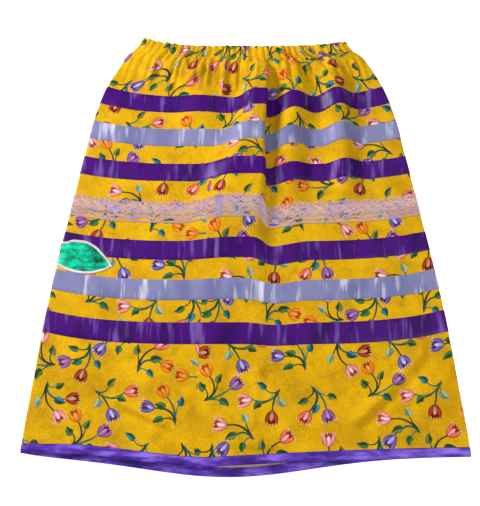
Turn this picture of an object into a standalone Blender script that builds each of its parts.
"""Ribbon skirt laid flat on its back, waist towards +Y and hem towards -Y.

The skirt is a cloth tube pressed flat. A point of its outer surface is found by two numbers: q, the
place round the tube, and t, the millimetres of cloth below the top edge of the waist. q runs from -1
to 1 across the front, from 1 to 2 round the right side fold, from 2 to 4 across the back, which lies
underneath, and from 4 to 5 round the left side fold. On the front, s is the same number as q.

Tables and sizes are in millimetres, and the meshes are written in metres. The back rests on z = 0.
"""
import math

import bmesh
import bpy
import numpy as np

MM = 0.001
COLLECTION = "ribbon_skirt"

# Cloth and trim
WALL = 1.2
GAP = 0.3
RIBBON_WALL = 1.0
TRIM_OUT = GAP + RIBBON_WALL
CASING_WALL = 3.6
CASING_EDGE = 1.0
LACE_GAP = 0.6
LEAF_GAP = TRIM_OUT + GAP

# Lengths of cloth below the top of the waist
WAIST_Y = 403.7
CASING_TOP_BEND = 3.0
CASING_MIDDLE = 15.0
CASING_LOW_BEND = 27.0
CASING_BOTTOM = 31.0
BODY_TOP = CASING_BOTTOM + GAP
BINDING_TOP = 799.0
BINDING_LOW_BEND = 813.2
HEM = 814.5
BODY_BOTTOM = 812.7

# Heights of the flattened tube
FRONT_REST = 4.4
WAIST_LIFT = 10.6
WAIST_LIFT_FROM = 25.0
WAIST_LIFT_REACH = 85.0
HEM_LIFT = 6.6
HEM_LIFT_FROM = 700.0
HEM_LIFT_REACH = 110.0
BACK_STEP = 3.0
TRIM_MARGIN = 1.5

# The two seams, as places across the front and the back
FRONT_SEAM = -0.29
BACK_SEAM = 2.76

GATHERS = 38
COLUMNS_PER_GATHER = 3

# Each ribbon: its name, its material and the lengths t of its top and bottom edges
BANDS = (
    ("ribbon_purple_1", "purple", 111.0, 147.0),
    ("ribbon_lavender_1", "lavender", 183.0, 219.0),
    ("ribbon_purple_2", "purple", 256.0, 292.0),
    ("ribbon_purple_3", "purple", 412.0, 449.0),
    ("ribbon_lavender_2", "lavender", 487.0, 525.0),
    ("ribbon_purple_4", "purple", 566.0, 605.0),
)
LACE_TOP = 334.0
LACE_BOTTOM = 377.0
LACE_SCALLOP = 4.0
LACE_ROWS = (334.0, 345.0, 354.5, 364.5, 371.5, 377.0)
LACE_UPPER_GAPS = 1
LACE_LOWER_GAPS = 3
LACE_LEAST_CELL = 8.0
LACE_BACK_CELLS = 58

# Half of the flat width of the skirt, seen from above
OUTLINE_COLUMNS = ("t", "half_width")
OUTLINE = (
    (0.0, 210.0),
    (20.0, 219.5),
    (41.0, 241.0),
    (58.0, 250.0),
    (105.0, 273.6),
    (138.0, 285.8),
    (171.0, 295.6),
    (236.0, 308.0),
    (360.0, 329.2),
    (535.0, 356.6),
    (697.0, 374.9),
    (817.0, 384.5),
)

# How far the ends of a row lie above its middle, and how high the side folds stand
SIDE_COLUMNS = ("t", "sag", "side_height")
SIDES = (
    (0.0, 18.0, 10.0),
    (31.0, 18.0, 9.5),
    (111.0, 22.0, 6.5),
    (201.0, 19.0, 6.5),
    (274.0, 16.0, 6.5),
    (355.0, 16.0, 6.5),
    (430.0, 19.0, 6.5),
    (506.0, 20.5, 6.5),
    (585.0, 23.0, 6.5),
    (700.0, 21.0, 6.5),
    (815.0, 20.0, 9.5),
)

# The main fold stands on the front with its steep side at edge_x. It rises from foot to crest, both
# measured to the left of that side, which falls over twice reach and leans by steep. up and drop are
# the shifts of a row along the cloth on the fold and to the right of it. The two right folds and the
# left one are soft ridges.
FOLD_COLUMNS = ("t", "edge_x", "crest", "foot", "height", "steep", "reach", "up", "drop",
                "near_x", "far_x", "right_height", "right_up", "left_height")
FOLDS = (
    (0.0, 46.0, 18.0, 60.0, 0.0, 0.3, 12.0, 0.0, 0.0, 84.0, 150.0, 0.0, 0.0, 0.0),
    (31.0, 46.0, 18.0, 60.0, 0.0, 0.3, 12.0, 0.0, 0.0, 86.0, 154.0, 0.0, 0.0, 0.0),
    (55.0, 47.0, 20.0, 62.0, 18.0, 0.8, 11.0, 2.0, 4.0, 90.0, 165.0, 10.0, 3.0, 4.0),
    (129.0, 44.0, 22.0, 69.0, 32.0, 1.25, 10.0, 4.0, 10.0, 95.0, 183.0, 22.0, 8.0, 9.0),
    (201.0, 37.0, 29.0, 97.0, 30.0, 1.25, 10.0, 4.0, 12.0, 87.0, 189.0, 18.0, 6.0, 4.0),
    (274.0, 40.0, 55.0, 135.0, 26.0, 0.9, 16.0, 6.0, 12.0, 87.0, 193.0, 12.0, 5.0, 1.0),
    (355.0, 34.0, 64.0, 154.0, 20.0, 0.6, 22.0, 9.0, 12.0, 87.0, 193.0, 2.0, 0.0, 0.0),
    (430.0, 34.0, 60.0, 160.0, 11.0, 0.3, 30.0, 4.0, 13.0, 87.0, 193.0, 0.0, 0.0, 0.0),
    (506.0, 32.0, 60.0, 160.0, 6.0, 0.0, 40.0, 2.0, 9.0, 87.0, 193.0, 0.0, 0.0, 0.0),
    (585.0, 32.0, 60.0, 160.0, 3.0, 0.0, 40.0, 0.0, 5.0, 87.0, 193.0, 0.0, 0.0, 0.0),
    (700.0, 32.0, 60.0, 160.0, 2.0, 0.0, 40.0, 0.0, 0.0, 87.0, 193.0, 0.0, 0.0, 0.0),
    (815.0, 32.0, 60.0, 160.0, 2.0, 0.0, 40.0, 0.0, 0.0, 87.0, 193.0, 0.0, 0.0, 0.0),
)
LEAN_REACH = 1.8
DROP_FADE = 90.0
NEAR_HALF = 46.0
FAR_HALF = 42.0
LEFT_X = -88.0
LEFT_HALF = 66.0

# Height of a gather's ridge over its valley
GATHER_COLUMNS = ("t", "depth")
GATHER_DEPTH = (
    (0.0, 1.4),
    (3.0, 2.8),
    (15.0, 2.2),
    (27.0, 2.8),
    (31.0, 1.2),
    (48.0, 3.0),
    (70.0, 2.0),
    (92.0, 0.9),
    (111.0, 0.0),
)
GATHER_ROWS = (BODY_TOP, 48.0, 70.0, 92.0)
PLAIN_ROWS = (BODY_TOP, 70.0)
LOWER_ROWS = (660.0, 720.0, 770.0, BINDING_TOP, BODY_BOTTOM)

# Hem line: the front is lowest left of the middle, and the back hangs below it
HEM_LOW = -0.15
HEM_LEFT_RISE = 22.0
HEM_LEFT_REACH = 0.7
HEM_RIGHT_RISE = 16.0
HEM_RIGHT_POWER = 1.6
HEM_BLEND_FROM = 605.0
BACK_HEM_RISE = 16.5
BACK_HEM_DROP = 33.2
BACK_HEM_LOW = -0.08
BACK_HEM_REACH = 0.53
WAIST_TILT = 5.0
WAIST_TILT_REACH = 60.0

# Green leaf over the left side fold: a is the distance across the front from that fold
LEAF_COLUMNS = ("a", "middle_t", "half_height")
LEAF = (
    (0.0, 456.5, 24.0),
    (18.0, 455.0, 30.0),
    (38.0, 455.0, 31.5),
    (58.0, 457.5, 27.5),
    (76.0, 461.0, 18.0),
    (90.0, 464.0, 8.0),
    (100.0, 466.0, 0.0),
)
LEAF_EDGE = 5.0
LEAF_TIP_EDGE = 9.0
LEAF_FOLD_ENDS = (4.75, 4.5, 4.34)

# Columns of the front, by their distance from the steep side of the main fold at the first ribbon
LEFT_WIDE = 317.0
RIGHT_WIDE = 226.0
FLANK_STEPS = (3.0, 6.5, 9.5, 13.0, 18.0)
LEFT_FINE_FROM = 112.0
LEFT_COLUMNS = 13
MIDDLE_COLUMNS = 8
RIGHT_COLUMNS = 18
BACK_PLACES = (1.0, 0.94, 0.84, 0.68, 0.46, 0.24, 0.0, -0.24, -0.46, -0.68, -0.84, -0.94, -1.0)
SPLIT = 0.03

COLOURS = {
    "cotton": ((0.78, 0.50, 0.01), 0.85),
    "purple": ((0.055, 0.004, 0.20), 0.35),
    "lavender": ((0.20, 0.20, 0.52), 0.35),
    "lace": ((0.55, 0.34, 0.38), 0.8),
    "binding": ((0.17, 0.07, 0.58), 0.4),
    "leaf": ((0.01, 0.17, 0.05), 0.4),
    "leaf_edge": ((0.75, 0.72, 0.62), 0.8),
}


def clear_scene():
    for item in list(bpy.data.objects):
        bpy.data.objects.remove(item, do_unlink=True)


def column(names, rows, name):
    """One named column of a table, with the column of t beside it."""
    index = names.index(name)
    return np.array([row[0] for row in rows]), np.array([row[index] for row in rows])


def smooth_curve(knots, values, t):
    """A curve through a table's rows that never overshoots them."""
    steps = np.diff(values) / np.diff(knots)
    slopes = np.zeros(len(knots))
    for i in range(1, len(knots) - 1):
        if steps[i - 1] * steps[i] > 0:
            slopes[i] = 2 * steps[i - 1] * steps[i] / (steps[i - 1] + steps[i])
    t = np.clip(t, knots[0], knots[-1])
    i = np.clip(np.searchsorted(knots, t, side="right") - 1, 0, len(knots) - 2)
    span = knots[i + 1] - knots[i]
    u = (t - knots[i]) / span
    return ((1 + 2 * u) * (1 - u) ** 2 * values[i] + u * (1 - u) ** 2 * span * slopes[i]
            + u * u * (3 - 2 * u) * values[i + 1] + u * u * (u - 1) * span * slopes[i + 1])


def fold_curve(name, t):
    return smooth_curve(*column(FOLD_COLUMNS, FOLDS, name), t)


def step(u):
    """From 0 to 1 as u goes from 0 to 1, level at both ends."""
    u = np.clip(u, 0.0, 1.0)
    return u * u * (3 - 2 * u)


def ridge(x, middle, half):
    """A soft ridge, 1 at its middle and 0 from half its width away."""
    return np.cos(np.clip((x - middle) / half, -1.0, 1.0) * math.pi / 2) ** 2


def side_floor(t):
    """Height of the cloth's underside at the side folds: on the floor at the casing, then above it
    by the thickness of the trim."""
    return TRIM_OUT * step((t - 33.0) / 14.0)


def back_floor(t):
    """Height of the back's underside: the cloth rests on the floor between the ribbons, and is
    lifted by each ribbon's thickness where one lies under it."""
    lift = np.zeros_like(t)
    trims = [(top, bottom) for _, _, top, bottom in BANDS]
    trims += [(LACE_TOP, LACE_BOTTOM), (BINDING_TOP, HEM + BACK_STEP)]
    reach = TRIM_MARGIN + BACK_STEP
    for top, bottom in trims:
        inside = step((t - top + reach) / BACK_STEP) * step((bottom + reach - t) / BACK_STEP)
        lift = np.maximum(lift, inside)
    return side_floor(t) * lift


def tube_sizes(t):
    """Half width, side fold radius, side height and side floor at t."""
    half = smooth_curve(*column(OUTLINE_COLUMNS, OUTLINE, "half_width"), t) - TRIM_OUT
    height = smooth_curve(*column(SIDE_COLUMNS, SIDES, "side_height"), t)
    floor = side_floor(t)
    return half, (height - floor) / 2, height, floor


def hem_rise(s):
    """Height of the front hem line over its lowest place."""
    left = HEM_LEFT_RISE * step((HEM_LOW - s) / HEM_LEFT_REACH)
    right = 1 - (1 - np.clip((s - HEM_LOW) / (1 - HEM_LOW), 0.0, 1.0)) ** HEM_RIGHT_POWER
    return left + HEM_RIGHT_RISE * right


def front_line(s, t):
    """Y of a row of the front before the folds shift it."""
    sag = smooth_curve(*column(SIDE_COLUMNS, SIDES, "sag"), t)
    tilt = WAIST_TILT * (1 - step(t / WAIST_TILT_REACH))
    plain = sag * s ** 4 - tilt * s * np.abs(s) ** 3
    low = step((t - HEM_BLEND_FROM) / (HEM - HEM_BLEND_FROM))
    return WAIST_Y - t + (1 - low) * plain + low * hem_rise(s)


def front(s, t):
    """The outer surface of the front, before gathers."""
    half, radius, side_height, _ = tube_sizes(t)
    across = s * (half - radius)
    place = across - fold_curve("edge_x", t)
    crest, foot = fold_curve("crest", t), fold_curve("foot", t)
    reach, steep = fold_curve("reach", t), fold_curve("steep", t)
    rise = step((place + foot) / (foot - crest))
    fall = 1 - step((place + reach) / (2 * reach))
    lean = steep * place * ridge(place, 0.0, LEAN_REACH * reach)
    near, far = fold_curve("near_x", t), fold_curve("far_x", t)
    right = ridge(across, near, NEAR_HALF) + ridge(across, far, FAR_HALF)
    left = ridge(across, LEFT_X, LEFT_HALF)
    rest = (FRONT_REST + WAIST_LIFT * (1 - step((t - WAIST_LIFT_FROM) / WAIST_LIFT_REACH))
            + HEM_LIFT * step((t - HEM_LIFT_FROM) / HEM_LIFT_REACH))
    z = (side_height + (rest - side_height) * (1 - s ** 6) + fold_curve("height", t) * rise * fall
         + fold_curve("right_height", t) * right + fold_curve("left_height", t) * left)
    fade = 1 - step(place / DROP_FADE)
    shift = (fold_curve("up", t) * rise * fall - fold_curve("drop", t) * (1 - fall) * fade
             + fold_curve("right_up", t) * right)
    return across - lean, front_line(s, t) + shift, z


def back(s, t):
    """The underside of the back."""
    half, radius, _, _ = tube_sizes(t)
    sag = smooth_curve(*column(SIDE_COLUMNS, SIDES, "sag"), t)
    low = t / HEM

    def line(place):
        hem = BACK_HEM_RISE - BACK_HEM_DROP * np.exp(-((place - BACK_HEM_LOW) / BACK_HEM_REACH) ** 2)
        return WAIST_Y - t + (1 - low) * sag * place ** 4 + low * hem

    side = np.sign(s)
    y = line(s) + np.abs(s) ** 8 * (front_line(side, t) - line(side))
    return s * (half - radius), y, back_floor(t)


def surface(q, t):
    """Points of the outer surface at places q round the tube and lengths t down it."""
    q, t = np.broadcast_arrays(np.asarray(q, float), np.asarray(t, float))
    q = (q + 1) % 6 - 1
    on_front, on_right, on_back = q <= 1, (q > 1) & (q < 2), (q >= 2) & (q <= 4)
    s = np.select([on_front, on_right, on_back], [q, 1.0, 3 - q], -1.0)
    turn = np.select([on_front, on_right, on_back], [0.0, q - 1, 1.0], 5 - q)
    front_point = np.stack(front(s, t), axis=-1)
    back_point = np.stack(back(s, t), axis=-1)
    half, radius, side_height, floor = tube_sizes(t)
    angle = turn * math.pi
    dip = (floor - back_floor(t)) * step((turn - 0.75) / 0.25)
    fold_point = np.stack([
        s * (half - radius + radius * np.sin(angle)),
        front_point[..., 1] + (back_point[..., 1] - front_point[..., 1]) * turn,
        (side_height + floor) / 2 + radius * np.cos(angle) - dip,
    ], axis=-1)
    keep_front, keep_back = on_front[..., None], on_back[..., None]
    return np.where(keep_front, front_point, np.where(keep_back, back_point, fold_point))


def outward(q, t):
    """Unit normals of the outer surface."""
    dq, dt = 0.001, 0.2
    along = surface(q + dq, t) - surface(q - dq, t)
    down = surface(q, t + dt) - surface(q, t - dt)
    normal = np.cross(down, along)
    return normal / np.linalg.norm(normal, axis=-1, keepdims=True)


def gather_height(q, t):
    """Height of the gathers on the front over the plain cloth."""
    s = np.clip((q + 1) % 6 - 1, -1.0, 1.0)
    on_front = ((q + 1) % 6 - 1) <= 1
    phase = GATHERS * math.pi * (s + 1)
    uneven = 0.8 + 0.2 * np.sin(11.0 * s + 1.0) * np.cos(23.0 * s)
    depth = smooth_curve(*column(GATHER_COLUMNS, GATHER_DEPTH, "depth"), t)
    return np.where(on_front, depth * uneven * (0.5 + 0.5 * np.cos(phase)), 0.0)


def cloth(q, t, out=0.0, gathered=False):
    """Points at a distance out from the outer surface."""
    q, t = np.broadcast_arrays(np.asarray(q, float), np.asarray(t, float))
    out = out + gather_height(q, t) if gathered else out + np.zeros_like(q)
    return surface(q, t) + outward(q, t) * out[..., None]


def fold_place(t):
    """The place s of the steep side of the main fold."""
    half, radius, _, _ = tube_sizes(t)
    return fold_curve("edge_x", t) / (half - radius)


def along_fold(c, t):
    """Place s of a column that keeps its place beside the main fold: c is -1 at the left side fold,
    0 at the steep side of the main fold and 1 at the right side fold."""
    edge = fold_place(np.asarray(t, float))
    return np.where(c < 0, -1 + (c + 1) * (edge + 1), edge + c * (1 - edge))


def front_columns():
    """Numbers c of the front's columns, close together at the steep side of the main fold."""
    left = [-LEFT_WIDE + i * (LEFT_WIDE - LEFT_FINE_FROM) / LEFT_COLUMNS for i in range(LEFT_COLUMNS)]
    flank = FLANK_STEPS[-1]
    middle = [-LEFT_FINE_FROM + i * (LEFT_FINE_FROM - flank) / MIDDLE_COLUMNS
              for i in range(MIDDLE_COLUMNS)]
    right = [flank + (i + 1) * (RIGHT_WIDE - flank) / RIGHT_COLUMNS for i in range(RIGHT_COLUMNS)]
    places = left + middle + [-d for d in reversed(FLANK_STEPS)] + [0.0]
    columns = [d / LEFT_WIDE for d in places]
    columns += [d / RIGHT_WIDE for d in list(FLANK_STEPS) + right]
    near_seam = min(columns, key=lambda c: abs(c - FRONT_SEAM))
    columns[columns.index(near_seam)] = FRONT_SEAM
    return np.array(columns)


def front_places(t, fine=False, low=-1.0, high=1.0):
    """Places s of one row of the front, from column low to column high."""
    ends = along_fold(np.array([low, high]), t)
    if fine:
        places = np.linspace(-1.0, 1.0, GATHERS * COLUMNS_PER_GATHER + 1)
    else:
        places = along_fold(front_columns(), t)
    least = 0.002
    inside = places[(places > ends[0] + least) & (places < ends[1] - least)]
    return np.concatenate([ends[:1], inside, ends[1:]])


def row(bm, q, t, out=0.0, gathered=False):
    """New vertices along one row, each with its place q."""
    points = cloth(q, t, out, gathered) * MM
    return [(float(place), bm.verts.new(point)) for place, point in zip(q, points)]


def strip(bm, a, b):
    """Triangles between two chains that run the same way, however many points each has. Chains of
    one length are cut along the same diagonal whichever comes first, so layers stay parallel."""
    same = len(a) == len(b)
    if same and a[0][1].co.y < b[0][1].co.y:
        a, b = b, a
    i = j = 0
    while i < len(a) - 1 or j < len(b) - 1:
        if i == len(a) - 1:
            first = False
        elif j == len(b) - 1:
            first = True
        elif same:
            first = i <= j
        else:
            first = a[i + 1][0] <= b[j + 1][0]
        if first:
            bm.faces.new((a[i][1], a[i + 1][1], b[j][1]))
            i += 1
        else:
            bm.faces.new((a[i][1], b[j + 1][1], b[j][1]))
            j += 1


def strips(bm, rows):
    for a, b in zip(rows, rows[1:]):
        strip(bm, a, b)


def side_chain(rows, lengths, end):
    """The end vertices of several rows, as a chain down the cloth."""
    return [(t, chain[end][1]) for chain, t in zip(rows, lengths)]


def loft(bm, rows, ring=False):
    """A closed solid through rows that go round its section, with caps unless it is a ring."""
    if ring:
        rows = [chain + [(chain[0][0] + 6, chain[0][1])] for chain in rows]
    strips(bm, rows + rows[:1])
    if not ring:
        for end in (0, -1):
            bm.faces.new([chain[end][1] for chain in rows])


def finish(name, bm, material):
    """A mesh object with its faces pointing out."""
    bmesh.ops.triangulate(bm, faces=[f for f in bm.faces if len(f.verts) > 3])
    bmesh.ops.recalc_face_normals(bm, faces=bm.faces)
    mesh = bpy.data.meshes.new(name)
    bm.to_mesh(mesh)
    bm.free()
    mesh.shade_smooth()
    mesh.set_sharp_from_angle(angle=math.radians(40))
    mesh.materials.append(make_material(name, material))
    item = bpy.data.objects.new(name, mesh)
    bpy.data.collections[COLLECTION].objects.link(item)
    return item


def make_material(name, kind):
    colour, roughness = COLOURS[kind]
    material = bpy.data.materials.new(name)
    material.use_nodes = True
    shader = material.node_tree.nodes["Principled BSDF"]
    shader.inputs["Base Color"].default_value = (*colour, 1.0)
    shader.inputs["Roughness"].default_value = roughness
    shader.inputs["Metallic"].default_value = 0.0
    return material


def trim_rows():
    """Lengths t of the edges of all that lies on the body."""
    edges = [edge for _, _, top, bottom in BANDS for edge in (top, bottom)]
    return sorted(edges + [LACE_TOP, LACE_BOTTOM])


def back_rows():
    """Lengths t of the rows of the back's underside, with a step beside each trim."""
    edges = trim_rows() + [BINDING_TOP]
    steps = []
    for i, edge in enumerate(edges):
        away = -1 if i % 2 == 0 else 1
        steps += [edge + away * TRIM_MARGIN, edge + away * (TRIM_MARGIN + BACK_STEP)]
    rows = [BODY_TOP, 48.0, 70.0] + edges + steps + list(LOWER_ROWS[:3]) + [BODY_BOTTOM]
    return sorted(rows)


def body_panel(name, right):
    """One printed panel from the front seam round a side fold to the back seam."""
    bm = bmesh.new()
    low, high = (FRONT_SEAM, 1.0) if right else (-1.0, FRONT_SEAM)
    fold = np.array([1.25, 1.5, 1.75]) if right else np.array([4.25, 4.5, 4.75])
    back_q = 3 - np.array(BACK_PLACES)
    back_q = back_q[back_q <= BACK_SEAM + 1e-6] if right else back_q[back_q >= BACK_SEAM - 1e-6]

    def seam_gap(t):
        return GAP / 2 / tube_sizes(np.asarray(t))[0]

    def front_q(t, fine):
        s = front_places(t, fine, low, high)
        if right:
            s[0] += seam_gap(t)
            return np.concatenate([s, fold])
        s[-1] -= seam_gap(t)
        return np.concatenate([fold, s + 6])

    def back_part(t):
        q = back_q.copy()
        q[-1 if right else 0] += -seam_gap(t) if right else seam_gap(t)
        return q

    coarse = trim_rows() + list(LOWER_ROWS)
    front_t = list(GATHER_ROWS) + coarse
    front_rows = [row(bm, front_q(t, True), t, 0.0, True) for t in GATHER_ROWS]
    front_rows += [row(bm, front_q(t, False), t) for t in coarse]
    back_t = back_rows()
    under_rows = [row(bm, back_part(t), t) for t in back_t]
    inner_t = list(PLAIN_ROWS) + coarse
    inner_rows = []
    for t in inner_t:
        parts = [front_q(t, False), back_part(t)]
        inner_rows.append(row(bm, np.concatenate(parts if right else parts[::-1]), t, -WALL))

    strips(bm, front_rows)
    strips(bm, under_rows)
    strips(bm, inner_rows)
    first, second = (front_rows, under_rows) if right else (under_rows, front_rows)
    first_t, second_t = (front_t, back_t) if right else (back_t, front_t)
    strip(bm, side_chain(first, first_t, -1), side_chain(second, second_t, 0))
    strip(bm, first[0] + second[0], inner_rows[0])
    strip(bm, first[-1] + second[-1], inner_rows[-1])
    strip(bm, side_chain(first, first_t, 0), side_chain(inner_rows, inner_t, 0))
    strip(bm, side_chain(second, second_t, -1), side_chain(inner_rows, inner_t, -1))
    return finish(name, bm, "cotton")


def ring_places(t, fine):
    """Places q of one row all the way round."""
    return np.concatenate([front_places(t, fine), [1.25, 1.5, 1.75], 3 - np.array(BACK_PLACES),
                           [4.25, 4.5, 4.75]])


def waistband_casing():
    """The gathered casing: one ring, with its ridges in the outer points over a plain inside."""
    bm = bmesh.new()
    edge, wall = -CASING_EDGE, -CASING_WALL
    outer = ((0.0, edge), (CASING_TOP_BEND, 0.0), (CASING_MIDDLE, 0.0), (CASING_LOW_BEND, 0.0),
             (CASING_BOTTOM, edge))
    inner = ((CASING_BOTTOM, wall - edge), (CASING_LOW_BEND, wall), (CASING_TOP_BEND, wall),
             (0.0, wall - edge))
    rows = [row(bm, ring_places(t, True), t, out, True) for t, out in outer]
    rows += [row(bm, ring_places(t, False), t, out) for t, out in inner]
    loft(bm, rows, ring=True)
    return finish("waistband_casing", bm, "cotton")


def half_places(t, side):
    """Places q of one row of a trim's front or back half, which meet at the middle of each side fold."""
    if side == "front":
        return np.concatenate([[4.5 + SPLIT - 6, 4.75 - 6], front_places(t), [1.25, 1.5 - SPLIT]])
    return np.concatenate([[1.5 + SPLIT, 1.75], 3 - np.array(BACK_PLACES), [4.25, 4.5 - SPLIT]])


def band(name, material, side, section):
    """A trim along the tube, through the (t, out) points of its section."""
    bm = bmesh.new()
    loft(bm, [row(bm, half_places(t, side), t, out) for t, out in section])
    return finish(name, bm, material)


def ribbons():
    for name, material, top, bottom in BANDS:
        section = ((top, TRIM_OUT), (bottom, TRIM_OUT), (bottom, GAP), (top, GAP))
        for side in ("front", "back"):
            band(f"{name}_{side}", material, side, section)


def hem_binding():
    """Satin folded over the raw hem: an outer leg, a bend below the cloth and an inner leg."""
    inside = -WALL - GAP
    section = (
        (BINDING_TOP, TRIM_OUT),
        (BINDING_LOW_BEND, TRIM_OUT),
        (HEM, (TRIM_OUT + inside - RIBBON_WALL) / 2),
        (BINDING_LOW_BEND, inside - RIBBON_WALL),
        (BINDING_TOP, inside - RIBBON_WALL),
        (BINDING_TOP, inside),
        (BODY_BOTTOM + GAP, inside),
        (BODY_BOTTOM + GAP, GAP),
        (BINDING_TOP, GAP),
    )
    for side in ("front", "back"):
        band(f"hem_binding_{side}", "binding", side, section)


def lace(side):
    """The lace band: a grid of cells with the largest gap of each repeat cut through."""
    bm = bmesh.new()
    gap = LACE_GAP if side == "front" else GAP

    def places(t):
        if side == "front":
            return half_places(t, side)
        across = np.linspace(2.0, 4.0, LACE_BACK_CELLS + 1)
        return np.concatenate([[1.5 + SPLIT, 1.75], across, [4.25, 4.5 - SPLIT]])

    def sheet(out):
        rows = []
        for number, t in enumerate(LACE_ROWS):
            q = places(t)
            wave = np.where(np.arange(len(q)) % 2, LACE_SCALLOP, 0.0) if number == 0 else 0.0
            rows.append([bm.verts.new(p * MM) for p in cloth(q, t + wave, out)])
        return rows

    upper, lower = sheet(gap + RIBBON_WALL), sheet(gap)
    down, across = len(upper) - 1, len(upper[0]) - 1

    def is_cell(r, k):
        if not (0 <= r < down and 0 <= k < across):
            return False
        width = (upper[r][k + 1].co - upper[r][k].co).length
        wide = width > LACE_LEAST_CELL * MM and 3 <= k < across - 3
        return not (wide and ((r == LACE_UPPER_GAPS and k % 2) or (r == LACE_LOWER_GAPS and k % 2 == 0)))

    for r in range(down):
        for k in range(across):
            if not is_cell(r, k):
                continue
            for rows in (upper, lower):
                bm.faces.new((rows[r][k], rows[r][k + 1], rows[r + 1][k]))
                bm.faces.new((rows[r][k + 1], rows[r + 1][k + 1], rows[r + 1][k]))
            corners = ((r, k), (r, k + 1), (r + 1, k + 1), (r + 1, k))
            beside = ((r - 1, k), (r, k + 1), (r + 1, k), (r, k - 1))
            for i, cell in enumerate(beside):
                if not is_cell(*cell):
                    (r0, k0), (r1, k1) = corners[i], corners[(i + 1) % 4]
                    bm.faces.new((upper[r0][k0], upper[r1][k1], lower[r1][k1], lower[r0][k0]))
    return finish(f"lace_band_{side}", bm, "lace")


def leaf_edges(a):
    """Lengths t of the leaf's upper and lower edge at a distance a from the side fold."""
    middle = float(smooth_curve(*column(LEAF_COLUMNS, LEAF, "middle_t"), a))
    half = float(smooth_curve(*column(LEAF_COLUMNS, LEAF, "half_height"), a))
    return middle - half, middle + half


def leaf_stations():
    """Columns of the leaf from its point to the side fold and then round it: the distance a of the
    edging's outer side, that of its inner side, the place q on the fold or None, and the edges t."""
    distances = [entry[0] for entry in reversed(LEAF)]
    stations = []
    for a in distances:
        shrink = LEAF_TIP_EDGE * (a / distances[0]) ** 4
        stations.append((a, a - shrink, None, *leaf_edges(a)))
    stations += [(0.0, 0.0, q, *leaf_edges(0.0)) for q in LEAF_FOLD_ENDS]
    return stations


def leaf_point(bm, a, q, t, out):
    """A vertex of the leaf, at a distance a from the side fold or at a place q on it."""
    half, radius, _, _ = tube_sizes(np.asarray(t, float))
    place = -1 + a / (half - radius) if q is None else q - 6
    return bm.verts.new(cloth(place, t, out) * MM)


def leaf_applique():
    """The green leaf inside its edging, bent over the left side fold."""
    bm = bmesh.new()
    parts = 6
    inset = LEAF_EDGE + GAP

    def sheet(out):
        chains = []
        for _, a, q, top, bottom in leaf_stations():
            if not chains:
                chains.append([(0.5, leaf_point(bm, a - 2 * GAP, q, (top + bottom) / 2, out))])
                continue
            steps = [i / parts for i in range(parts + 1)]
            reach = bottom - top - 2 * inset
            chains.append([(v, leaf_point(bm, a, q, top + inset + reach * v, out)) for v in steps])
        strips(bm, chains)
        return chains

    over, under = sheet(LEAF_GAP + RIBBON_WALL), sheet(LEAF_GAP)
    for end in (0, -1):
        ends = [[(i, chain[end][1]) for i, chain in enumerate(chains)] for chains in (over, under)]
        strip(bm, *ends)
    strip(bm, over[-1], under[-1])
    return finish("leaf_applique", bm, "leaf")


def leaf_edging():
    """The off-white edging round the leaf, from the side fold round its point and back."""
    bm = bmesh.new()
    point, *others = leaf_stations()
    upper = [((a, q, top), (inner, q, top + LEAF_EDGE)) for a, inner, q, top, _ in reversed(others)]
    lower = [((a, q, bottom), (inner, q, bottom - LEAF_EDGE)) for a, inner, q, _, bottom in others]
    tip = ((point[0], None, point[3]), (point[1], None, point[3]))
    path = upper + [tip] + lower
    rows = []
    for side, out in ((0, LEAF_GAP), (0, LEAF_GAP + RIBBON_WALL), (1, LEAF_GAP + RIBBON_WALL), (1, LEAF_GAP)):
        rows.append([(i, leaf_point(bm, *pair[side], out)) for i, pair in enumerate(path)])
    loft(bm, rows)
    return finish("leaf_edging", bm, "leaf_edge")


def main():
    clear_scene()
    collection = bpy.data.collections.new(COLLECTION)
    bpy.context.scene.collection.children.link(collection)
    waistband_casing()
    body_panel("body_panel_left", right=False)
    body_panel("body_panel_right", right=True)
    ribbons()
    for side in ("front", "back"):
        lace(side)
    hem_binding()
    leaf_applique()
    leaf_edging()


main()
